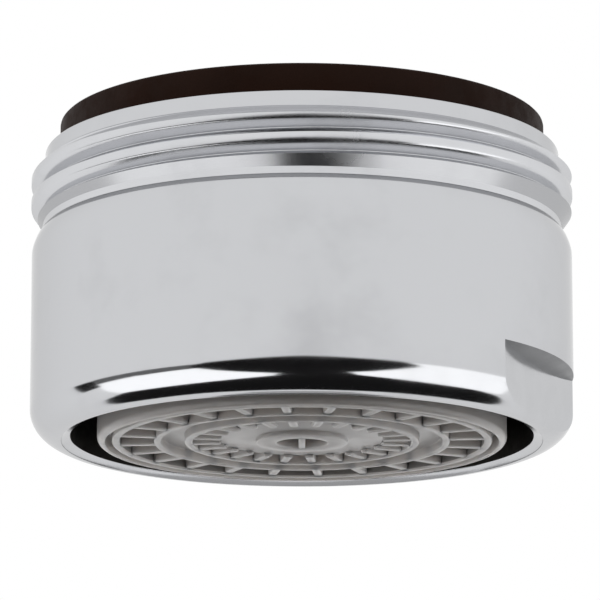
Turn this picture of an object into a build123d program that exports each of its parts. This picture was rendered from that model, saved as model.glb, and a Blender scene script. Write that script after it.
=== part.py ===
from build123d import *
import os
from math import acos, cos, degrees, hypot, radians, sin

# Tap aerator, standing on its outlet. Millimetres, +Z up.
# The origin is on the axis, level with the insert's outlet rim.

# Sleeve, outside
thread_r = 12.0          # M24 x 1 male thread, over its crests
thread_len = 1.87        # threaded length at full height
lead_len = 0.45          # lead-in chamfer above the thread
pilot_drop = 0.6         # the plain rim above the thread is this much smaller in radius
pilot_len = 0.66         # height of that rim
barrel_step = 0.05       # the barrel is this much smaller in radius than the thread
barrel_len = 6.88        # straight height of the barrel
shoulder_r = 1.5         # rounding at the top of the barrel
relief_depth = 0.45      # run-out groove under the thread, below the barrel's surface
relief_len = 0.15        # flat floor of that groove
nose_r = 1.35            # rounding outside the outlet lip
lip_bevel_w = 0.4        # shallow bevel inside the outlet lip
lip_bevel_h = 0.18
lip_flat = 0.03          # least width of the edge between the bevel and the rounding
lip_lift = 0.1           # the insert's rim stands this far out of the lip

# Spanner flats, two opposite ones
flat_depth = 0.95        # 22 mm across the flats
flat_len = 2.85          # from the lip to the edge of the ledge on the barrel
flat_angle = -21.0       # direction of one flat, from +X
ledge_slope = 21.0       # how steeply the hollow ledge above a flat rises at the barrel

# Sleeve, inside
sleeve_wall = 1.78       # wall of the barrel
rim_wall = 0.9           # wall of the plain rim round the flange
seat_w = 0.65            # width of the ledge that carries the flange
step_drop = 0.4          # the bore starts to narrow this far below the top of the barrel

# Washer
washer_inset = 0.65      # its edge lies this far inside the plain rim
washer_w = 2.25          # width of its ring
washer_t = 1.4
washer_bevel = 0.12

# Insert, common sizes
fit_gap = 0.05           # clearance in radius of pieces that drop into one another
air_gap = 1.17           # ring-shaped air intake between sleeve and insert
throat_gap = 0.85        # the same gap higher up, inside the thread

# Upper half of the insert
flange_t = 1.0
spigot_wall = 0.9        # wall of the mixing chamber
collar_wall = 0.5
collar_drop = 0.4        # the collar ends this far below the top of the washer
port_count = 8
port_w = 2.6
port_h = 1.4
port_drop = 1.0          # from the jet plate to the top of the air ports

# Jet plate
plate_sink = 0.5         # its top lies this far below the flange's top
plate_t = 1.2
jet_r = 0.55
jet_margin = 1.5         # from the chamber wall to the outer ring of jets
jet_ring_step = 2.7      # from the outer ring of jets to the inner one
outer_jets = 12
inner_jets = 6

# Strainer
strainer_wall = 0.7
strainer_t = 0.5
strainer_drop = 0.3      # its face lies this far below the collar's top
strainer_pitch = 1.2
strainer_hole = 0.75

# Lower half of the insert
outlet_len = 7.6         # from the outlet rim to the joint with the upper half
outlet_wall = 0.35       # thin rim round the grille
socket_wall = 0.45       # wall of the socket for the screens and the spigot
web_w = 0.5              # width of the ledge under the screens
web_t = 1.65             # height of the ring between the grille and the screens
rim_bevel = 0.1

# Mixing screens
screen_t = 0.3
screen_space = 1.0
screen_pitch = 1.7
screen_hole = 1.3
screen_turn = 45.0       # the upper screen is turned against the lower one

# Outlet grille, from the edge inwards
grille_sink = 0.05       # its face lies this far inside the outlet rim
grille_t = 2.0
groove_w = 0.25          # narrow groove round the face
groove_depth = 0.6
outer_ring_w = 0.35
outer_slot_w = 1.5
middle_ring_w = 0.3
channel_w = 1.05         # shallow closed channel
channel_depth = 0.4
inner_ring_w = 0.35
inner_slot_w = 1.0
hub_ring_share = 0.53    # outer radius of the hub's raised ring, as a share of the hub's radius
hub_hole_share = 0.29    # radius of the hub's hole, in the same way
hub_drop = 0.2           # the rest of the hub's face lies this far behind the rings
rib_w = 0.4
rib_sink = 0.05          # the ribs lie this far behind the rings
rib_count = 24           # in each of the two slotted rings
rib_turn = 9.65          # direction of the first rib, from +X
bridge_w = 0.3           # bar across the hub's hole

# Radii worked out from these
barrel_r = thread_r - barrel_step
pilot_r = thread_r - pilot_drop
relief_r = barrel_r - relief_depth
bore_r = barrel_r - sleeve_wall
recess_r = pilot_r - rim_wall
throat_r = recess_r - seat_w
washer_r = pilot_r - washer_inset
washer_hole_r = washer_r - washer_w
collar_r = washer_hole_r - fit_gap
well_r = collar_r - collar_wall
tube_r = throat_r - throat_gap
outlet_r = bore_r - air_gap
pocket_r = outlet_r - socket_wall
web_r = pocket_r - web_w
spigot_r = pocket_r - fit_gap
chamber_r = spigot_r - spigot_wall
grille_hole_r = outlet_r - outlet_wall

# Heights worked out from these, bottom to top
lip_z = lip_lift
nose = min(nose_r, sleeve_wall - lip_bevel_w - lip_flat)
barrel_z = lip_z + nose
shoulder_z = barrel_z + barrel_len
shoulder_sweep = degrees(acos(1 - relief_depth / shoulder_r))
relief_z = shoulder_z + shoulder_r * sin(radians(shoulder_sweep))
thread_z = relief_z + relief_len + thread_r - relief_r
lead_z = thread_z + thread_len
pilot_z = lead_z + lead_len
top_z = pilot_z + pilot_len
seat_z = top_z - flange_t
washer_top_z = top_z + washer_t
collar_z = washer_top_z - collar_drop
plate_top_z = top_z - plate_sink
plate_z = plate_top_z - plate_t
grille_top_z = grille_sink + grille_t
screen_z = grille_top_z + web_t
spacer_z = screen_z + screen_t
upper_screen_z = spacer_z + screen_space
spigot_z = upper_screen_z + screen_t


def turned(outline):
    """A solid of revolution about Z; the outline is drawn as radius and height."""
    return revolve(Plane.XZ * make_face(outline), Axis.Z)


def turned_steps(*points):
    """A solid of revolution with straight edges only."""
    return turned(Polyline(*points, close=True))


def ring(inner_r, outer_r, bottom, top):
    """A plain ring with square edges."""
    return turned_steps((inner_r, bottom), (outer_r, bottom), (outer_r, top), (inner_r, top))


def hole_grid(reach, pitch, hole):
    """Square holes on a square grid, as many as lie whole inside a circle."""
    rows = 2 * int(reach / pitch) + 1
    half = hole / 2
    spots = [
        spot
        for spot in GridLocations(pitch, pitch, rows, rows)
        if hypot(abs(spot.position.X) + half, abs(spot.position.Y) + half) < reach
    ]
    return Sketch() + [spot * Rectangle(hole, hole) for spot in spots]


def spanner_flat(angle):
    """Cutter for one flat: a block outside its plane, less the ball whose skin is the hollow ledge."""
    edge_z = lip_z + flat_len
    ball_r = barrel_r / sin(radians(ledge_slope))
    ball = Pos(0, 0, edge_z + ball_r * cos(radians(ledge_slope))) * Sphere(ball_r)
    block = Box(thread_r, 2 * thread_r, 4 * edge_z, align=(Align.MIN, Align.CENTER, Align.CENTER))
    return Rot(0, 0, angle) * Pos(barrel_r - flat_depth, 0, 0) * block - ball


def make_sleeve():
    """Brass sleeve: rounded lip, barrel, run-out groove, thread envelope and plain rim."""
    narrow_z = shoulder_z - step_drop
    outline = Curve() + [
        Polyline(
            (bore_r, lip_z + lip_bevel_h),
            (bore_r + lip_bevel_w, lip_z),
            (barrel_r - nose, lip_z),
        ),
        CenterArc((barrel_r - nose, barrel_z), nose, 270, 90),
        Line((barrel_r, barrel_z), (barrel_r, shoulder_z)),
        CenterArc((barrel_r - shoulder_r, shoulder_z), shoulder_r, 0, shoulder_sweep),
        Polyline(
            (relief_r, relief_z),
            (relief_r, relief_z + relief_len),
            (thread_r, thread_z),
            (thread_r, lead_z),
            (pilot_r, pilot_z),
            (pilot_r, top_z),
            (recess_r, top_z),
            (recess_r, seat_z),
            (throat_r, seat_z),
            (throat_r, narrow_z + abs(bore_r - throat_r)),
            (bore_r, narrow_z),
            (bore_r, lip_z + lip_bevel_h),
        ),
    ]
    return turned(outline) - spanner_flat(flat_angle) - spanner_flat(flat_angle + 180)


def make_washer():
    """Flat rubber washer with its edges broken."""
    washer = ring(washer_hole_r, washer_r, top_z, washer_top_z)
    return chamfer(washer.edges().filter_by(GeomType.CIRCLE), washer_bevel)


def make_jet_housing():
    """Upper half of the insert: spigot, tube with air ports, flange and collar."""
    shell = turned_steps(
        (chamber_r, spigot_z),
        (spigot_r, spigot_z),
        (spigot_r, outlet_len),
        (tube_r, outlet_len),
        (tube_r, seat_z),
        (recess_r - fit_gap, seat_z),
        (recess_r - fit_gap, top_z),
        (collar_r, top_z),
        (collar_r, collar_z),
        (well_r, collar_z),
        (well_r, plate_z),
        (chamber_r, plate_z),
    )
    port = Pos(0, 0, plate_z - port_drop - port_h / 2) * Box(tube_r, port_w, port_h)
    middle_r = (chamber_r + tube_r) / 2
    return shell - [spot * port for spot in PolarLocations(middle_r, port_count)]


def make_jet_plate():
    """Drilled plate: two rings of round jets."""
    outer_ring_r = chamber_r - jet_margin
    inner_ring_r = outer_ring_r - jet_ring_step
    jets = [spot * Circle(jet_r) for spot in PolarLocations(outer_ring_r, outer_jets)]
    jets += [spot * Circle(jet_r) for spot in PolarLocations(inner_ring_r, inner_jets)]
    return Pos(0, 0, plate_z) * extrude(Circle(well_r - fit_gap) - jets, plate_t)


def make_strainer():
    """Dirt strainer: a cup that stands on the jet plate, with a perforated face."""
    cup_r = well_r - fit_gap
    face_z = collar_z - strainer_drop
    hollow_r = cup_r - strainer_wall
    cup = turned_steps(
        (0, face_z - strainer_t),
        (hollow_r, face_z - strainer_t),
        (hollow_r, plate_top_z),
        (cup_r, plate_top_z),
        (cup_r, face_z),
        (0, face_z),
    )
    reach = hollow_r - (strainer_pitch - strainer_hole) / 2
    return cup - extrude(hole_grid(reach, strainer_pitch, strainer_hole), face_z + strainer_t)


def make_screen(bottom, turn):
    """Mixing screen: a thin disc with a grid of square openings."""
    mesh = Circle(pocket_r - fit_gap) - hole_grid(web_r, screen_pitch, screen_hole)
    return Pos(0, 0, bottom) * Rot(0, 0, turn) * extrude(mesh, screen_t)


def make_outlet_housing():
    """Lower half of the insert: thin outlet rim, ring under the screens and socket for the spigot."""
    shell = turned_steps(
        (grille_hole_r, 0),
        (outlet_r, 0),
        (outlet_r, outlet_len),
        (pocket_r, outlet_len),
        (pocket_r, screen_z),
        (web_r, screen_z),
        (web_r, grille_top_z),
        (grille_hole_r, grille_top_z),
    )
    rim = shell.edges().filter_by(GeomType.CIRCLE).group_by(Axis.Z)[0].sort_by(SortBy.RADIUS)[-1]
    return chamfer(rim, rim_bevel)


def ribs(inner_r, outer_r):
    """Radial ribs that bridge a ring-shaped slot and end inside the rings beside it."""
    overlap = rib_w / 2
    length = outer_r - inner_r + 2 * overlap
    height = grille_t - rib_sink
    rib = Pos(0, 0, grille_top_z - height / 2) * Box(length, rib_w, height)
    return [spot * rib for spot in PolarLocations((inner_r + outer_r) / 2, rib_count, rib_turn)]


def make_grille():
    """Outlet grille: concentric rings joined by radial ribs, with a bridge across the hub."""
    face = grille_sink
    edge_r = grille_hole_r - fit_gap
    ring_r = edge_r - groove_w
    slot_r = ring_r - outer_ring_w
    middle_r = slot_r - outer_slot_w
    channel_r = middle_r - middle_ring_w
    inner_r = channel_r - channel_w
    inner_slot_r = inner_r - inner_ring_w
    hub_r = inner_slot_r - inner_slot_w
    hub_ring_r = hub_ring_share * hub_r
    hub_hole_r = hub_hole_share * hub_r
    outer_ring = turned_steps(
        (slot_r, face),
        (ring_r, face),
        (ring_r, face + groove_depth),
        (edge_r, face + groove_depth),
        (edge_r, grille_top_z),
        (slot_r, grille_top_z),
    )
    middle_ring = turned_steps(
        (inner_slot_r, face),
        (inner_r, face),
        (inner_r, face + channel_depth),
        (channel_r, face + channel_depth),
        (channel_r, face),
        (middle_r, face),
        (middle_r, grille_top_z),
        (inner_slot_r, grille_top_z),
    )
    hub = turned_steps(
        (hub_hole_r, face),
        (hub_ring_r, face),
        (hub_ring_r, face + hub_drop),
        (hub_r, face + hub_drop),
        (hub_r, grille_top_z),
        (hub_hole_r, grille_top_z),
    )
    bridge = Pos(0, 0, face + grille_t / 2) * Box(bridge_w, 2 * hub_hole_r + bridge_w, grille_t)
    outer_bridges = ribs(middle_r, slot_r)
    inner_bridges = ribs(hub_r, inner_slot_r)
    return outer_ring + [middle_ring, hub, bridge] + outer_bridges + inner_bridges


nodes = {
    "outlet_sleeve": make_sleeve(),
    "sealing_washer": make_washer(),
    "jet_housing": make_jet_housing(),
    "jet_plate": make_jet_plate(),
    "strainer_screen": make_strainer(),
    "mixing_screen_upper": make_screen(upper_screen_z, screen_turn),
    "spacer_ring": ring(web_r, pocket_r - fit_gap, spacer_z, upper_screen_z),
    "mixing_screen_lower": make_screen(screen_z, 0),
    "outlet_housing": make_outlet_housing(),
    "outlet_grille": make_grille(),
}

os.makedirs("parts", exist_ok=True)
for name, solid in nodes.items():
    export_step(solid, f"parts/{name}.step")
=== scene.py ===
import bmesh
import bpy
from math import acos, cos, pi, radians, sin, sqrt, tan
from mathutils import Matrix, Vector


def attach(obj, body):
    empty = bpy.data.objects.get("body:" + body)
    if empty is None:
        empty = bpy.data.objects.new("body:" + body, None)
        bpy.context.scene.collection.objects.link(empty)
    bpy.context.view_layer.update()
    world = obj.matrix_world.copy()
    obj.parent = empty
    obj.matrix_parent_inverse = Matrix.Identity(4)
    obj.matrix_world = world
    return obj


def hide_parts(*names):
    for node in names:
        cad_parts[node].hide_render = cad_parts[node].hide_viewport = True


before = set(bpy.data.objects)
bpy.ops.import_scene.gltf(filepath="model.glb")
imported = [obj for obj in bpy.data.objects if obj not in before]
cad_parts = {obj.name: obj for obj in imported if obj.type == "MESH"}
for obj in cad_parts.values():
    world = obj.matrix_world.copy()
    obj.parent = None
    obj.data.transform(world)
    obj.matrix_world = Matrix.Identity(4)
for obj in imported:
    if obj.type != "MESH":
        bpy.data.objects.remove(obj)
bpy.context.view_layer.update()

# Sizes in millimetres, most of them as the part's source works them out. The thread's ridge and the level
# where the bore turns dull are only here, and the thread's run-out is longer here.
# Meshes are made in millimetres and scaled at the end.
MILLIMETRE = 0.001

# Sleeve
BARREL_R = 11.95
THREAD_R = 12.0
THREAD_PITCH = 1.0
THREAD_START_Z = 8.13
THREAD_TURNS = 4.5
CREST_HALF_W = 0.2
CREST_ROUND = 0.06
FLANK_ANGLE = 30.0
RIDGE_SUNK = 0.08
RELIEF_R = 11.5
RIM_R = 11.4
BORE_R = 10.17
RECESS_R = 10.5
THROAT_R = 9.85
NOSE_R = 1.35
SHOULDER_R = 1.5
LIP_Z = 0.1
LIP_BEVEL_W = 0.4
LIP_BEVEL_H = 0.18
DARK_BORE_Z = 0.3
SHOULDER_Z = 8.33
RELIEF_Z = 9.401
RUN_OUT_Z = 9.7
RUN_OUT_TOP_Z = 10.4
LEAD_Z = 11.921
LEAD_TOP_Z = 12.371
SEAT_Z = 12.031
TOP_Z = 13.031
NARROW_Z = 7.93
FLAT_R = 11.0
FLAT_ANGLE = -21.0
FLAT_EDGE_Z = 2.95
LEDGE_SLOPE = 21.0

# Washer
WASHER_R = 10.75
WASHER_HOLE_R = 8.5
WASHER_TOP_Z = 14.431

# Lower half of the insert, with the outlet grille
OUTLET_R = 9.0
SOCKET_R = 8.55
WEB_R = 8.05
GRILLE_HOLE_R = 8.65
HOUSING_TOP_Z = 7.6
SCREEN_Z = 3.7
GRILLE_FACE_Z = 0.05
GRILLE_TOP_Z = 2.05
RIB_W = 0.4
RIB_SINK = 0.05
RIB_ROUND = 0.08
RIB_COUNT = 24
RIB_TURN = 9.65
BRIDGE_W = 0.3
BRIDGE_ROUND = 0.05

# Fineness of the meshes
TURN_STEPS = 256
THREAD_STEPS = 128
ROUND_STEPS = 14
MERGE_DISTANCE = 1e-5
SLIVER = 1e-4
ON_PLANE = 1e-6


# Mesh tools

def turned(outline, steps=TURN_STEPS):
    """Spins a closed outline about the axis. Each corner is radius, height and rounding."""
    bm = bmesh.new()
    corners = [bm.verts.new((corner[0], 0, corner[1])) for corner in outline]
    bm.faces.new(corners)
    for vert, corner in zip(corners, outline):
        if len(corner) == 3:
            bmesh.ops.bevel(
                bm, geom=[vert], offset=corner[2], offset_type="ABSOLUTE", affect="VERTICES",
                segments=max(3, round(ROUND_STEPS * min(1, corner[2]))), profile=0.5, material=-1,
            )
    bmesh.ops.delete(bm, geom=list(bm.faces), context="FACES_ONLY")
    bmesh.ops.remove_doubles(bm, verts=list(bm.verts), dist=MERGE_DISTANCE)
    spin_about_axis(bm, 2 * pi, steps, use_merge=True)
    return bm


def spin_about_axis(bm, angle, steps, lift=0.0, use_merge=False):
    """Spins all that is drawn so far about the part's axis, rising by lift in each step."""
    bmesh.ops.spin(
        bm, geom=list(bm.verts) + list(bm.edges), cent=(0, 0, 0), axis=(0, 0, 1),
        dvec=(0, 0, lift), angle=angle, steps=steps, use_merge=use_merge,
    )
    bmesh.ops.remove_doubles(bm, verts=list(bm.verts), dist=MERGE_DISTANCE)


def close_ends(bm):
    """Caps every open edge loop and turns the faces outwards."""
    open_edges = [edge for edge in bm.edges if edge.is_boundary]
    bmesh.ops.holes_fill(bm, edges=open_edges, sides=0)
    bmesh.ops.recalc_face_normals(bm, faces=list(bm.faces))


def loose_object(bm, name):
    """Puts a bmesh into an object, still in millimetres."""
    bmesh.ops.recalc_face_normals(bm, faces=list(bm.faces))
    mesh = bpy.data.meshes.new(name)
    bm.to_mesh(mesh)
    bm.free()
    obj = bpy.data.objects.new(name, mesh)
    bpy.context.collection.objects.link(obj)
    return obj


def trimmed(bm, tool, operation):
    """One Boolean step between two closed shapes, used up at once and cleared of slivers."""
    work = loose_object(bm, "work")
    cutter = loose_object(tool, "cutter")
    step = work.modifiers.new("trim", "BOOLEAN")
    step.operation = operation
    step.solver = "EXACT"
    step.object = cutter
    depsgraph = bpy.context.evaluated_depsgraph_get()
    result = bmesh.new()
    result.from_mesh(work.evaluated_get(depsgraph).data)
    for obj in (work, cutter):
        mesh = obj.data
        bpy.data.objects.remove(obj)
        bpy.data.meshes.remove(mesh)
    bmesh.ops.remove_doubles(result, verts=list(result.verts), dist=SLIVER)
    many_sided = [face for face in result.faces if len(face.verts) > 4]
    bmesh.ops.triangulate(result, faces=many_sided, quad_method="BEAUTY", ngon_method="BEAUTY")
    bmesh.ops.dissolve_degenerate(result, dist=SLIVER, edges=list(result.edges))
    return result


def join(bm, other):
    """Adds another bmesh to the first one."""
    carrier = bpy.data.meshes.new("carrier")
    other.to_mesh(carrier)
    other.free()
    bm.from_mesh(carrier)
    bpy.data.meshes.remove(carrier)


def finished(bm, name, node, slot, *materials, sharp=30):
    """Makes a bmesh the visible piece for a CAD node."""
    bmesh.ops.recalc_face_normals(bm, faces=list(bm.faces))
    bmesh.ops.scale(bm, vec=(MILLIMETRE,) * 3, verts=list(bm.verts))
    mesh = bpy.data.meshes.new(name)
    bm.to_mesh(mesh)
    bm.free()
    for material in materials:
        mesh.materials.append(material)
    mesh.shade_smooth()
    mesh.set_sharp_from_angle(angle=radians(sharp))
    piece = bpy.data.objects.new(name, mesh)
    bpy.context.collection.objects.link(piece)
    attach(piece, "root")
    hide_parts(node)
    return piece


# Shared shader groups

def new_group(name, inputs, outputs):
    """A shader group with number inputs, given with their defaults, and number outputs."""
    group = bpy.data.node_groups.new(name, "ShaderNodeTree")
    for label, value in inputs.items():
        socket = group.interface.new_socket(label, in_out="INPUT", socket_type="NodeSocketFloat")
        socket.default_value = value
    for label in outputs:
        group.interface.new_socket(label, in_out="OUTPUT", socket_type="NodeSocketFloat")
    return group, group.nodes.new("NodeGroupInput"), group.nodes.new("NodeGroupOutput")


def noise(nodes, links, coords, scale, detail=4.0, roughness=0.55):
    """Noise on the given coordinates; the scale is a number or a socket."""
    texture = nodes.new("ShaderNodeTexNoise")
    links.new(coords, texture.inputs["Vector"])
    if isinstance(scale, (int, float)):
        texture.inputs["Scale"].default_value = scale
    else:
        links.new(scale, texture.inputs["Scale"])
    texture.inputs["Detail"].default_value = detail
    texture.inputs["Roughness"].default_value = roughness
    return texture.outputs["Fac"]


def make_handling_marks():
    """Soft blotches from handling and drying, as a roughness between Clean and Marked."""
    group, source, sink = new_group(
        "handling_marks", {"Size": 400.0, "Clean": 0.05, "Marked": 0.12}, ["Roughness", "Mask"])
    nodes, links = group.nodes, group.links
    coords = nodes.new("ShaderNodeTexCoord").outputs["Object"]
    blotch = noise(nodes, links, coords, source.outputs["Size"])
    edge = nodes.new("ShaderNodeMapRange")
    edge.interpolation_type = "SMOOTHSTEP"
    edge.inputs["From Min"].default_value = 0.45
    edge.inputs["From Max"].default_value = 0.72
    links.new(blotch, edge.inputs["Value"])
    spread = nodes.new("ShaderNodeMapRange")
    links.new(edge.outputs["Result"], spread.inputs["Value"])
    links.new(source.outputs["Clean"], spread.inputs["To Min"])
    links.new(source.outputs["Marked"], spread.inputs["To Max"])
    links.new(spread.outputs["Result"], sink.inputs["Roughness"])
    links.new(edge.outputs["Result"], sink.inputs["Mask"])
    return group


def make_moulded_grain():
    """Fine grain of a moulded surface, as a height from 0 to 1, with a broader waviness."""
    group, source, sink = new_group("moulded_grain", {"Grain": 9000.0, "Wave": 700.0}, ["Height", "Mottle"])
    nodes, links = group.nodes, group.links
    coords = nodes.new("ShaderNodeTexCoord").outputs["Object"]
    grain = noise(nodes, links, coords, source.outputs["Grain"], detail=3.0)
    wave = noise(nodes, links, coords, source.outputs["Wave"], detail=2.0)
    both = nodes.new("ShaderNodeMix")
    both.inputs["Factor"].default_value = 0.35
    links.new(grain, both.inputs["A"])
    links.new(wave, both.inputs["B"])
    links.new(both.outputs["Result"], sink.inputs["Height"])
    links.new(wave, sink.inputs["Mottle"])
    return group


handling_marks = make_handling_marks()
moulded_grain = make_moulded_grain()


# Materials

def new_material(name):
    """A material with its nodes, its links and its main shader."""
    material = bpy.data.materials.new(name)
    material.use_nodes = True
    nodes, links = material.node_tree.nodes, material.node_tree.links
    return material, nodes, links, nodes["Principled BSDF"]


def two_tone(nodes, links, factor, dark, light):
    """A colour that runs from dark to light with the factor."""
    ramp = nodes.new("ShaderNodeMix")
    ramp.data_type = "RGBA"
    links.new(factor, ramp.inputs["Factor"])
    ramp.inputs["A"].default_value = (*dark, 1)
    ramp.inputs["B"].default_value = (*light, 1)
    return ramp.outputs["Result"]


def placed(nodes, group, **values):
    """Puts a shared group into a material and sets its inputs."""
    node = nodes.new("ShaderNodeGroup")
    node.node_tree = group
    for label, value in values.items():
        node.inputs[label].default_value = value
    return node


def relief(nodes, links, shader, height, strength, depth):
    """Fine bumps on a surface; the depth is in metres."""
    bump = nodes.new("ShaderNodeBump")
    bump.inputs["Strength"].default_value = strength
    bump.inputs["Distance"].default_value = depth
    links.new(height, bump.inputs["Height"])
    links.new(bump.outputs["Normal"], shader.inputs["Normal"])


def make_chrome(name, bright, clean, marked):
    """Chrome on turned brass, with faint drying marks; clean and marked are roughness values."""
    material, nodes, links, shader = new_material(name)
    shader.inputs["Metallic"].default_value = 1.0
    shader.inputs["Specular Tint"].default_value = (0.78, 0.78, 0.78, 1)
    marked_share = 0.95
    marks = placed(nodes, handling_marks, Size=260.0, Clean=clean, Marked=marked)
    links.new(marks.outputs["Roughness"], shader.inputs["Roughness"])
    tint = Vector((0.984, 0.995, 1.025))
    colour = two_tone(nodes, links, marks.outputs["Mask"], tint * bright, tint * bright * marked_share)
    links.new(colour, shader.inputs["Base Color"])
    coords = nodes.new("ShaderNodeTexCoord").outputs["Object"]
    relief(nodes, links, shader, noise(nodes, links, coords, 900.0, detail=2.0), 0.25, 1.2e-6)
    return material


def make_dark_bore():
    """Inside of the sleeve, dark and dull metal."""
    material, nodes, links, shader = new_material("dull_bore")
    shader.inputs["Metallic"].default_value = 1.0
    marks = placed(nodes, handling_marks, Size=700.0, Clean=0.32, Marked=0.5)
    links.new(marks.outputs["Roughness"], shader.inputs["Roughness"])
    colour = two_tone(nodes, links, marks.outputs["Mask"], (0.050, 0.047, 0.043), (0.028, 0.026, 0.023))
    links.new(colour, shader.inputs["Base Color"])
    return material


def make_rubber():
    """Dark brown-black rubber with a fine moulded skin."""
    material, nodes, links, shader = new_material("washer_rubber")
    grain = placed(nodes, moulded_grain, Grain=5200.0, Wave=500.0)
    dark, light = (0.0110, 0.0040, 0.0019), (0.0200, 0.0076, 0.0042)
    colour = two_tone(nodes, links, grain.outputs["Mottle"], dark, light)
    links.new(colour, shader.inputs["Base Color"])
    marks = placed(nodes, handling_marks, Size=900.0, Clean=0.55, Marked=0.72)
    links.new(marks.outputs["Roughness"], shader.inputs["Roughness"])
    shader.inputs["Specular IOR Level"].default_value = 0.06
    relief(nodes, links, shader, grain.outputs["Height"], 0.5, 2.5e-5)
    return material


def make_plastic(name, dark, light, smooth, worn):
    """Satin moulded plastic, slightly milky; smooth and worn are roughness values."""
    material, nodes, links, shader = new_material(name)
    grain = placed(nodes, moulded_grain, Grain=7500.0, Wave=450.0)
    colour = two_tone(nodes, links, grain.outputs["Mottle"], dark, light)
    links.new(colour, shader.inputs["Base Color"])
    marks = placed(nodes, handling_marks, Size=1100.0, Clean=smooth, Marked=worn)
    links.new(marks.outputs["Roughness"], shader.inputs["Roughness"])
    shader.inputs["Subsurface Weight"].default_value = 1.0
    shader.inputs["Subsurface Radius"].default_value = (1.0, 0.95, 0.9)
    shader.inputs["Subsurface Scale"].default_value = 0.0006
    relief(nodes, links, shader, grain.outputs["Height"], 0.35, 1.0e-5)
    return material


def make_wire_mesh():
    """Fine steel wire: fine ridges in both directions of the weave."""
    material, nodes, links, shader = new_material("wire_mesh")
    shader.inputs["Metallic"].default_value = 1.0
    coords = nodes.new("ShaderNodeTexCoord").outputs["Object"]
    weave = nodes.new("ShaderNodeMath")
    weave.operation = "MULTIPLY"
    for index, direction in enumerate(("X", "Y")):
        wires = nodes.new("ShaderNodeTexWave")
        wires.bands_direction = direction
        wires.inputs["Scale"].default_value = 3200.0
        wires.inputs["Distortion"].default_value = 0.4
        links.new(coords, wires.inputs["Vector"])
        links.new(wires.outputs["Fac"], weave.inputs[index])
    colour = two_tone(nodes, links, weave.outputs["Value"], (0.20, 0.20, 0.20), (0.56, 0.55, 0.53))
    links.new(colour, shader.inputs["Base Color"])
    marks = placed(nodes, handling_marks, Size=1500.0, Clean=0.28, Marked=0.42)
    links.new(marks.outputs["Roughness"], shader.inputs["Roughness"])
    relief(nodes, links, shader, weave.outputs["Value"], 0.6, 4.0e-5)
    return material


chrome = make_chrome("bright_chrome", 0.60, 0.11, 0.16)
# Lighter copy of the chrome on the thread: painted highlight; its rougher finish is real
thread_chrome_painted_light = make_chrome("thread_chrome_painted_light", 0.66, 0.20, 0.28)
# Darker copy of the chrome on the run-out cone: painted shade; its rougher finish is real
run_out_chrome_painted_shade = make_chrome("run_out_chrome_painted_shade", 0.44, 0.22, 0.30)
# Darker copy of the chrome on the ledge under each flat: painted shade; its rougher milled finish is real
ledge_chrome_painted_shade = make_chrome("milled_ledge_painted_shade", 0.25, 0.28, 0.40)
dull_bore = make_dark_bore()
rubber = make_rubber()
grey_plastic = make_plastic("insert_grey", (0.61, 0.59, 0.58), (0.71, 0.69, 0.675), 0.30, 0.46)
# A darker copy of the grille's grey: painted shade on the walls inside the outer slots
slot_plastic_painted_shade = make_plastic("slot_painted_shade", (0.28, 0.27, 0.265), (0.34, 0.33, 0.32), 0.40, 0.52)
white_plastic = make_plastic("insert_white", (0.70, 0.69, 0.66), (0.80, 0.79, 0.76), 0.32, 0.48)
wire_mesh = make_wire_mesh()


# Sleeve

def sleeve_body():
    """Turned sleeve without its thread ridge."""
    sweep = acos(1 - (BARREL_R - RELIEF_R) / SHOULDER_R)
    tangent = SHOULDER_R * tan(sweep / 2)
    lead = (LEAD_TOP_Z - LEAD_Z) / (THREAD_R - RIM_R)
    # Rings close to the roundings, so that the straight barrel shades evenly
    beside = 0.05
    return turned([
        (BORE_R, LIP_Z + LIP_BEVEL_H, 0.04),
        (BORE_R + LIP_BEVEL_W, LIP_Z, 0.02),
        (BARREL_R, LIP_Z, NOSE_R),
        (BARREL_R, LIP_Z + NOSE_R + beside),
        (BARREL_R, SHOULDER_Z - beside),
        (BARREL_R, SHOULDER_Z + tangent, tangent),
        (RELIEF_R, RELIEF_Z),
        (RELIEF_R, LEAD_TOP_Z - lead * (RELIEF_R - RIM_R)),
        (RIM_R, LEAD_TOP_Z),
        (RIM_R, TOP_Z, 0.1),
        (RECESS_R, TOP_Z, 0.06),
        (RECESS_R, SEAT_Z),
        (THROAT_R, SEAT_Z),
        (THROAT_R, NARROW_Z + BORE_R - THROAT_R),
        (BORE_R, NARROW_Z),
        (BORE_R, DARK_BORE_Z),
    ])


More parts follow.
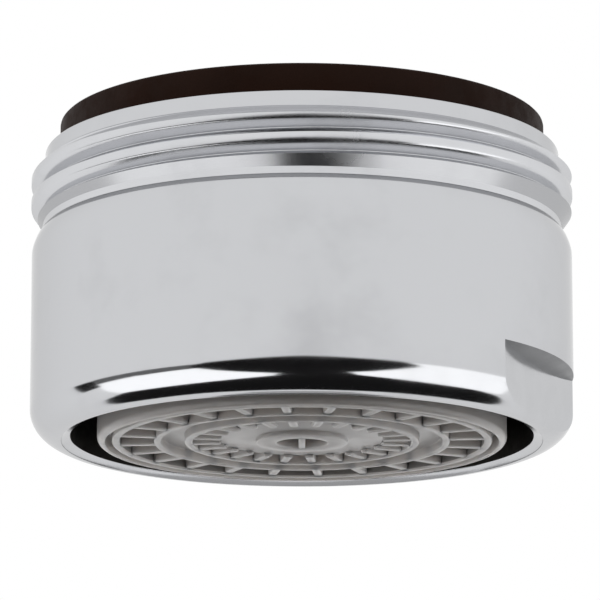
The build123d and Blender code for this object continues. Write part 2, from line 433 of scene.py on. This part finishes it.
def thread_ridge():
    """Right-handed ridge of the thread, trimmed by the run-out and the lead-in chamfer."""
    sunk_r = RELIEF_R - RIDGE_SUNK
    foot = CREST_HALF_W + (THREAD_R - RELIEF_R) * tan(radians(FLANK_ANGLE))
    bm = bmesh.new()
    section = [
        (sunk_r, -foot), (RELIEF_R, -foot), (THREAD_R, -CREST_HALF_W),
        (THREAD_R, CREST_HALF_W), (RELIEF_R, foot), (sunk_r, foot),
    ]
    verts = [bm.verts.new((r, 0, THREAD_START_Z + z)) for r, z in section]
    bm.faces.new(verts)
    bmesh.ops.bevel(
        bm, geom=verts[2:4], offset=CREST_ROUND, offset_type="ABSOLUTE", affect="VERTICES",
        segments=2, profile=0.5, material=-1,
    )
    bmesh.ops.delete(bm, geom=list(bm.faces), context="FACES_ONLY")
    steps = round(THREAD_TURNS * THREAD_STEPS)
    spin_about_axis(bm, 2 * pi * THREAD_TURNS, steps, lift=THREAD_PITCH / THREAD_STEPS)
    close_ends(bm)
    inner_r = RELIEF_R - 0.2
    outer_r = THREAD_R + 0.05
    run_out = (RUN_OUT_TOP_Z - RUN_OUT_Z) / (THREAD_R - RELIEF_R)
    lead = (LEAD_TOP_Z - LEAD_Z) / (THREAD_R - RIM_R)
    # The ridge goes into the sleeve just outside its corner, so that no two faces share a plane
    meet_r = RELIEF_R + 0.01
    meet_z = LEAD_Z + lead * (THREAD_R - meet_r)
    envelope = turned([
        (inner_r, RUN_OUT_Z),
        (RELIEF_R, RUN_OUT_Z),
        (outer_r, RUN_OUT_Z + run_out * (outer_r - RELIEF_R)),
        (outer_r, LEAD_Z - lead * (outer_r - THREAD_R)),
        (meet_r, meet_z),
        (inner_r, meet_z),
    ])
    return trimmed(bm, envelope, "INTERSECT")


def flat_cutter(angle):
    """What is milled away for one spanner flat, up to the hollow ledge."""
    inner_r = FLAT_R - 0.3
    outer_r = BARREL_R + 0.6
    under_z = -1.0
    half_angle = 40
    ledge_steps = 6
    ball_r = BARREL_R / sin(radians(LEDGE_SLOPE))
    ball_z = FLAT_EDGE_Z + ball_r * cos(radians(LEDGE_SLOPE))
    bm = bmesh.new()
    outline = [(outer_r, under_z), (inner_r, under_z)]
    ledge = [inner_r + (outer_r - inner_r) * step / ledge_steps for step in range(ledge_steps + 1)]
    outline += [(r, ball_z - sqrt(ball_r**2 - r**2)) for r in ledge]
    verts = [bm.verts.new((r, 0, z)) for r, z in outline]
    for vert, following in zip(verts, verts[1:] + verts[:1]):
        bm.edges.new((vert, following))
    start = Matrix.Rotation(radians(angle - half_angle), 3, "Z")
    bmesh.ops.rotate(bm, cent=(0, 0, 0), matrix=start, verts=verts)
    spin_about_axis(bm, radians(2 * half_angle), 2 * half_angle)
    close_ends(bm)
    facing = Vector((cos(radians(angle)), sin(radians(angle)), 0))
    bmesh.ops.bisect_plane(
        bm, geom=list(bm.verts) + list(bm.edges) + list(bm.faces), dist=ON_PLANE,
        plane_co=facing * FLAT_R, plane_no=facing, clear_inner=True,
    )
    close_ends(bm)
    return bm


def make_sleeve():
    """Sleeve with flats and thread; each zone gets its own roughness. The thread takes a lighter copy of
    the chrome as painted highlight, and the run-out cone and the ledge take darker copies as painted shade.
    """
    body = sleeve_body()
    for angle in (FLAT_ANGLE, FLAT_ANGLE + 180):
        body = trimmed(body, flat_cutter(angle), "DIFFERENCE")
    join(body, thread_ridge())
    plating, bore, thread, ledge, run_out = range(5)
    for face in body.faces:
        middle = face.calc_center_median()
        reach = middle.xy.length
        facing = face.normal.z
        in_bore = reach < BORE_R + 0.02 and DARK_BORE_Z < middle.z < SEAT_Z + 0.01
        in_thread = reach > RIM_R and RELIEF_Z < middle.z < LEAD_TOP_Z
        on_cone = -0.64 < facing < -0.5
        over_flat = reach > FLAT_R - 0.1 and facing < -0.8 and NOSE_R < middle.z < SHOULDER_Z
        if in_bore:
            face.material_index = bore
        elif in_thread:
            face.material_index = run_out if on_cone else thread
        elif over_flat:
            face.material_index = ledge
        else:
            face.material_index = plating
    return finished(
        body, "sleeve_chrome", "outlet_sleeve", "chrome",
        chrome, dull_bore, thread_chrome_painted_light, ledge_chrome_painted_shade, run_out_chrome_painted_shade, sharp=20)


make_sleeve()


# Washer

finished(
    turned([
        (WASHER_HOLE_R, TOP_Z, 0.14),
        (WASHER_R, TOP_Z, 0.14),
        (WASHER_R, WASHER_TOP_Z, 0.16),
        (WASHER_HOLE_R, WASHER_TOP_Z, 0.16),
    ], steps=192),
    "washer_rubber", "sealing_washer", "rubber", rubber)


# Insert, lower half

finished(
    turned([
        (GRILLE_HOLE_R, 0, 0.07),
        (OUTLET_R, 0, 0.3),
        (OUTLET_R, HOUSING_TOP_Z, 0.1),
        (SOCKET_R, HOUSING_TOP_Z, 0.08),
        (SOCKET_R, SCREEN_Z),
        (WEB_R, SCREEN_Z, 0.08),
        (WEB_R, GRILLE_TOP_Z),
        (GRILLE_HOLE_R, GRILLE_TOP_Z),
    ]),
    "outlet_rim", "outlet_housing", "grey_plastic", grey_plastic)


def radial_ribs(inner_r, outer_r):
    """A ring of straight ribs that end inside the rings beside them."""
    length = outer_r - inner_r + RIB_W
    height = GRILLE_TOP_Z - GRILLE_FACE_Z - RIB_SINK
    middle_z = GRILLE_TOP_Z - height / 2
    bm = bmesh.new()
    rib = bmesh.ops.create_cube(bm, size=1)["verts"]
    bmesh.ops.scale(bm, vec=(length, RIB_W, height), verts=rib)
    bmesh.ops.translate(bm, vec=((inner_r + outer_r) / 2, 0, middle_z), verts=rib)
    low_edges = [
        edge for edge in bm.edges
        if all(vert.co.z < middle_z for vert in edge.verts)
        and abs(edge.verts[0].co.y - edge.verts[1].co.y) < ON_PLANE
    ]
    bmesh.ops.bevel(
        bm, geom=low_edges, offset=RIB_ROUND, offset_type="OFFSET", affect="EDGES",
        segments=2, profile=0.5, material=-1,
    )
    bmesh.ops.rotate(
        bm, cent=(0, 0, 0), matrix=Matrix.Rotation(radians(RIB_TURN), 3, "Z"), verts=list(bm.verts))
    turn = 2 * pi / RIB_COUNT
    bmesh.ops.spin(
        bm, geom=list(bm.verts) + list(bm.edges) + list(bm.faces), cent=(0, 0, 0), axis=(0, 0, 1),
        angle=turn * (RIB_COUNT - 1), steps=RIB_COUNT - 1, use_duplicate=True,
    )
    return bm


def make_grille():
    """Concentric rings, closed channel, hub and ribs of the outlet grille, with painted shade on the walls
    inside the outer slots.
    """
    edge_r, ring_r, slot_r = 8.6, 8.35, 8.0
    middle_r, channel_r, inner_r, inner_slot_r = 6.5, 6.2, 5.15, 4.8
    hub_r, hub_ring_r, hub_hole_r = 3.8, 2.014, 1.102
    face_z, top_z = GRILLE_FACE_Z, GRILLE_TOP_Z
    groove_z, channel_z, hub_z = face_z + 0.6, face_z + 0.4, face_z + 0.2
    bm = turned([
        (slot_r, face_z, 0.08),
        (ring_r, face_z, 0.08),
        (ring_r, groove_z),
        (edge_r, groove_z),
        (edge_r, top_z),
        (slot_r, top_z),
    ])
    join(bm, turned([
        (inner_slot_r, face_z, 0.08),
        (inner_r, face_z, 0.08),
        (inner_r, channel_z, 0.06),
        (channel_r, channel_z, 0.06),
        (channel_r, face_z, 0.08),
        (middle_r, face_z, 0.08),
        (middle_r, top_z),
        (inner_slot_r, top_z),
    ]))
    join(bm, turned([
        (hub_hole_r, face_z, 0.07),
        (hub_ring_r, face_z, 0.07),
        (hub_ring_r, hub_z, 0.06),
        (hub_r, hub_z, 0.08),
        (hub_r, top_z),
        (hub_hole_r, top_z),
    ], steps=128))
    join(bm, radial_ribs(middle_r, slot_r))
    join(bm, radial_ribs(hub_r, inner_slot_r))
    bridge = bmesh.new()
    bar = bmesh.ops.create_cube(bridge, size=1)["verts"]
    bmesh.ops.scale(bridge, vec=(BRIDGE_W, 2 * hub_hole_r + BRIDGE_W, top_z - face_z), verts=bar)
    bmesh.ops.translate(bridge, vec=(0, 0, (top_z + face_z) / 2), verts=bar)
    bmesh.ops.bevel(
        bridge, geom=list(bridge.edges), offset=BRIDGE_ROUND, offset_type="OFFSET", affect="EDGES",
        segments=2, profile=0.5, material=-1,
    )
    join(bm, bridge)
    bmesh.ops.recalc_face_normals(bm, faces=list(bm.faces))
    # Upright walls inside the outer slots take the darker grey: painted shade
    plain, shaded_slot_wall = range(2)
    for face in bm.faces:
        middle = face.calc_center_median()
        on_outer_ring = slot_r - 0.05 < middle.xy.length < ring_r - 0.1
        upright = abs(face.normal.z) < 0.5
        behind_face = middle.z > face_z + 0.1
        face.material_index = shaded_slot_wall if on_outer_ring and upright and behind_face else plain
    return finished(bm, "grille_rings", "outlet_grille", "grey_plastic", grey_plastic, slot_plastic_painted_shade)


make_grille()


# CAD nodes that keep their shape

for node, material in {
    "jet_housing": white_plastic,
    "jet_plate": white_plastic,
    "strainer_screen": white_plastic,
    "spacer_ring": white_plastic,
    "mixing_screen_upper": wire_mesh,
    "mixing_screen_lower": wire_mesh,
}.items():
    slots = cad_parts[node].data.materials
    slots.clear()
    slots.append(material)


# Stage

def stage_object(bm, name, material):
    """An object of the studio that isn't part of the aerator."""
    mesh = bpy.data.meshes.new(name)
    bm.to_mesh(mesh)
    bm.free()
    mesh.materials.append(material)
    obj = bpy.data.objects.new(name, mesh)
    bpy.context.collection.objects.link(obj)
    return obj


def out_of_sight(obj, material):
    """A studio card that shows in reflections but isn't seen itself.

    Only the black ones keep light off the part.
    """
    obj.visible_camera = False
    obj.visible_transmission = False
    obj.visible_diffuse = material is black_card
    obj.visible_shadow = material is black_card


def make_card_material(name, level):
    """An even glow; white surroundings have level 1."""
    material, nodes, links, _ = new_material(name)
    nodes.clear()
    glow = nodes.new("ShaderNodeEmission")
    glow.inputs["Color"].default_value = (1, 1, 1, 1)
    glow.inputs["Strength"].default_value = level
    links.new(glow.outputs["Emission"], nodes.new("ShaderNodeOutputMaterial").inputs["Surface"])
    return material


black_card = make_card_material("black_card", 0.01)
slate_card = make_card_material("slate_card", 0.16)
grey_card = make_card_material("grey_card", 0.47)
white_card = make_card_material("white_card", 1.6)

# Heights of the level cards in metres
CARD_Z = -0.04
CARD_GAP = 0.0005
LOW_CARD_Z = -0.12


def level_card(name, material, corners, height=CARD_Z):
    """A flat card that lies level below the part."""
    bm = bmesh.new()
    bm.faces.new([bm.verts.new((x, y, height)) for x, y in corners])
    out_of_sight(stage_object(bm, name, material), material)


def curved_card(name, material, left, right, low, high, distance=0.30, slants=()):
    """A card bent round the part.

    The angles are degrees to the right of the front and above the horizon. Each slant is a side distance, a
    height and a slope, and cuts the upper edge off along a line that falls outwards.
    """
    bm = bmesh.new()
    ends = [bm.verts.new((0, -distance, distance * tan(radians(rise)))) for rise in (low, high)]
    bm.edges.new(ends)
    start = Matrix.Rotation(radians(left), 3, "Z")
    bmesh.ops.rotate(bm, cent=(0, 0, 0), matrix=start, verts=ends)
    step_angle = 4
    bmesh.ops.spin(
        bm, geom=list(bm.verts) + list(bm.edges), cent=(0, 0, 0), axis=(0, 0, 1),
        angle=radians(right - left), steps=max(2, round((right - left) / step_angle)),
    )
    for side, height, slope in slants:
        bmesh.ops.bisect_plane(
            bm, geom=list(bm.verts) + list(bm.edges) + list(bm.faces), dist=ON_PLANE,
            plane_co=(side, 0, height), plane_no=Vector((slope, 0, 1)).normalized(), clear_outer=True,
        )
    out_of_sight(stage_object(bm, name, material), material)


level_card("card_left", white_card, [
    (-0.0085, -0.037), (-0.0085, -0.046), (-0.017, -0.051), (-0.031, -0.059), (-0.055, -0.076),
    (-0.113, -0.121), (-0.150, -0.070), (-0.165, 0.006), (-0.046, 0.006),
])
level_card("card_right", white_card, [
    (0.0195, -0.041), (0.020, -0.053), (0.034, -0.061), (0.058, -0.079), (0.075, -0.091),
    (0.30, -0.26), (0.36, 0.012), (0.059, 0.012),
])
level_card("card_under", black_card, [
    (-0.25, -0.45), (0.25, -0.45), (0.25, -0.25), (0.05, -0.05), (0.051, 0.015), (0.045, 0.022),
    (0.036, 0.031), (0.027, 0.039), (0.021, 0.033), (0.013, 0.022), (0, 0.018), (-0.013, 0.022),
    (-0.020, 0.033), (-0.026, 0.039), (-0.034, 0.031), (-0.042, 0.021), (-0.045, 0.008),
    (-0.044, -0.05), (-0.25, -0.298),
], CARD_Z - CARD_GAP)
level_card("card_low", black_card, [
    (-0.6, -0.9), (0.6, -0.9), (0.6, -0.16), (-0.6, -0.16),
], LOW_CARD_Z)
level_card("card_behind", grey_card, [
    (-0.0055, 0.030), (0.0055, 0.030), (0.0072, 0.056), (-0.0072, 0.056),
])
level_card("card_far_behind", slate_card, [
    (-0.0075, 0.060), (0.0075, 0.060), (0.0075, 0.15), (0.0055, 0.26), (-0.0055, 0.26), (-0.0075, 0.15),
])
curved_card("card_front", black_card, -46, 48, -22, 9.5, slants=[
    (-0.170, 0.0105, -0.23), (-0.190, 0.008, -1.5), (0.172, 0.0236, 0.155), (0.197, 0.021, 1.1),
])
curved_card("card_side", black_card, -108, -95, -20, -2)
curved_card("card_side_slate", slate_card, -95, -40, -12.5, -1.5, 0.31)
curved_card("card_right_high", white_card, 46, 95, -7, 2.5, 0.35)


def make_floor():
    """Round pale floor that catches the shadow, fades out with distance and is clear from below."""
    floor_r, fade_start, fade_end = 0.15, 0.02, 0.11
    material, nodes, links, shader = new_material("pale_floor")
    shader.inputs["Roughness"].default_value = 0.9
    shader.inputs["Specular IOR Level"].default_value = 0.0
    coords = nodes.new("ShaderNodeTexCoord").outputs["Object"]
    cloud = noise(nodes, links, coords, 60.0)
    colour = two_tone(nodes, links, cloud, (0.86, 0.86, 0.86), (0.90, 0.90, 0.90))
    links.new(colour, shader.inputs["Base Color"])
    distance = nodes.new("ShaderNodeVectorMath")
    distance.operation = "LENGTH"
    links.new(coords, distance.inputs[0])
    fade = nodes.new("ShaderNodeMapRange")
    fade.interpolation_type = "SMOOTHSTEP"
    fade.inputs["From Min"].default_value = fade_start
    fade.inputs["From Max"].default_value = fade_end
    links.new(distance.outputs["Value"], fade.inputs["Value"])
    clear = nodes.new("ShaderNodeMath")
    clear.operation = "MAXIMUM"
    links.new(fade.outputs["Result"], clear.inputs[0])
    links.new(nodes.new("ShaderNodeNewGeometry").outputs["Backfacing"], clear.inputs[1])
    mix = nodes.new("ShaderNodeMixShader")
    links.new(clear.outputs["Value"], mix.inputs["Fac"])
    links.new(shader.outputs["BSDF"], mix.inputs[1])
    links.new(nodes.new("ShaderNodeBsdfTransparent").outputs["BSDF"], mix.inputs[2])
    links.new(mix.outputs["Shader"], nodes["Material Output"].inputs["Surface"])
    bm = bmesh.new()
    bmesh.ops.create_circle(bm, cap_ends=True, segments=96, radius=floor_r)
    floor = stage_object(bm, "floor", material)
    floor.visible_diffuse = False
    floor.visible_glossy = False
    floor.visible_transmission = False
    floor.visible_shadow = False


make_floor()


def make_world():
    """Plain white surroundings."""
    world = bpy.data.worlds.new("studio")
    world.use_nodes = True
    background = world.node_tree.nodes["Background"]
    background.inputs["Color"].default_value = (1, 1, 1, 1)
    background.inputs["Strength"].default_value = 1.0
    bpy.context.scene.world = world


make_world()


def soft_lamp(name, place, size, power):
    """A square lamp aimed at the middle of the part and left out of reflections."""
    part_middle = Vector((0, 0, 0.006))
    lamp = bpy.data.lights.new(name, "AREA")
    lamp.size = size
    lamp.energy = power
    obj = bpy.data.objects.new(name, lamp)
    obj.location = place
    aim = part_middle - Vector(place)
    obj.rotation_euler = aim.to_track_quat("-Z", "Y").to_euler()
    obj.visible_glossy = False
    bpy.context.collection.objects.link(obj)


soft_lamp("key", (-0.22, -0.34, 0.42), 0.25, 0.5)


# Camera

def make_camera():
    """Long lens in front of the part and below it, looking up at the outlet."""
    picture_w = 600
    focal_px = 4635.8
    shift_px = -1.92
    upward = 0.2219
    lens = bpy.data.cameras.new("camera")
    lens.sensor_width = 36.0
    lens.lens = focal_px * lens.sensor_width / picture_w
    lens.clip_start = 0.01
    lens.shift_x = shift_px / picture_w
    camera = bpy.data.objects.new("camera", lens)
    camera.location = (0, -0.2, -0.038605)
    camera.rotation_euler = (radians(90) + upward, 0, 0)
    bpy.context.collection.objects.link(camera)
    bpy.context.scene.camera = camera


make_camera()
bpy.context.scene.view_settings.view_transform = "Standard"
